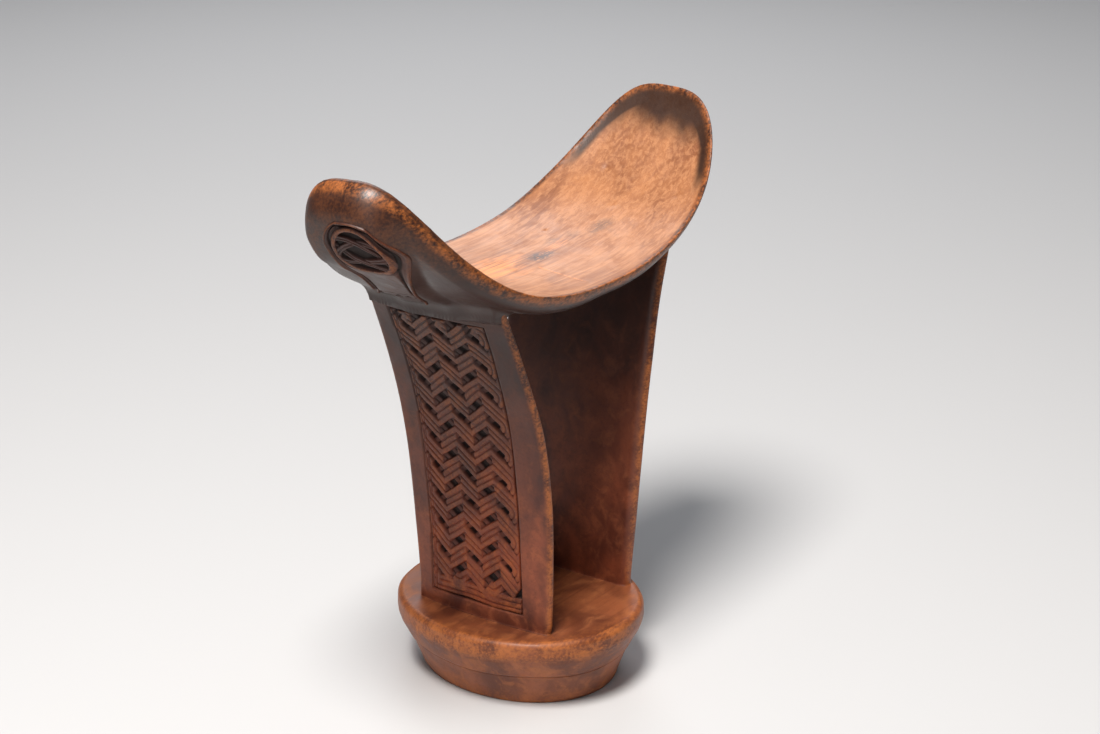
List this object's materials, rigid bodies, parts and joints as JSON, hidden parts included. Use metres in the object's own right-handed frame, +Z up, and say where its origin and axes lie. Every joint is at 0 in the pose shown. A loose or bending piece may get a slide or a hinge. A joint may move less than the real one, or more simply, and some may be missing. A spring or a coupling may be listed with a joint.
{
  "type": "headrest",
  "caption": "Carved wooden headrest with an upswept saddle cradle on flaring slab posts, plaited relief panels and a stepped oval foot.",
  "frame": {"origin": "on the ground, under the middle of the headrest's outline", "axes": "+Z up, +X along the cradle's long axis, towards the lower tip"},
  "size_m": [0.1832, 0.0848, 0.185],
  "materials": {
    "seat_wood": "satin, worn by use",
    "post_wood": "dark, handled",
    "carved_wood": "carved, dark in the recesses",
    "base_wood": "worn, scratched"
  },
  "bodies": {
    "root": {"foot": "base_wood", "base_rim": "base_wood", "left_post": "post_wood", "right_post": "post_wood", "left_plait": "carved_wood", "right_plait": "carved_wood", "head_cradle": "seat_wood", "left_keel": "post_wood", "right_keel": "post_wood", "left_medallion": "carved_wood", "right_medallion": "carved_wood"}
  },
  "joints": []
}
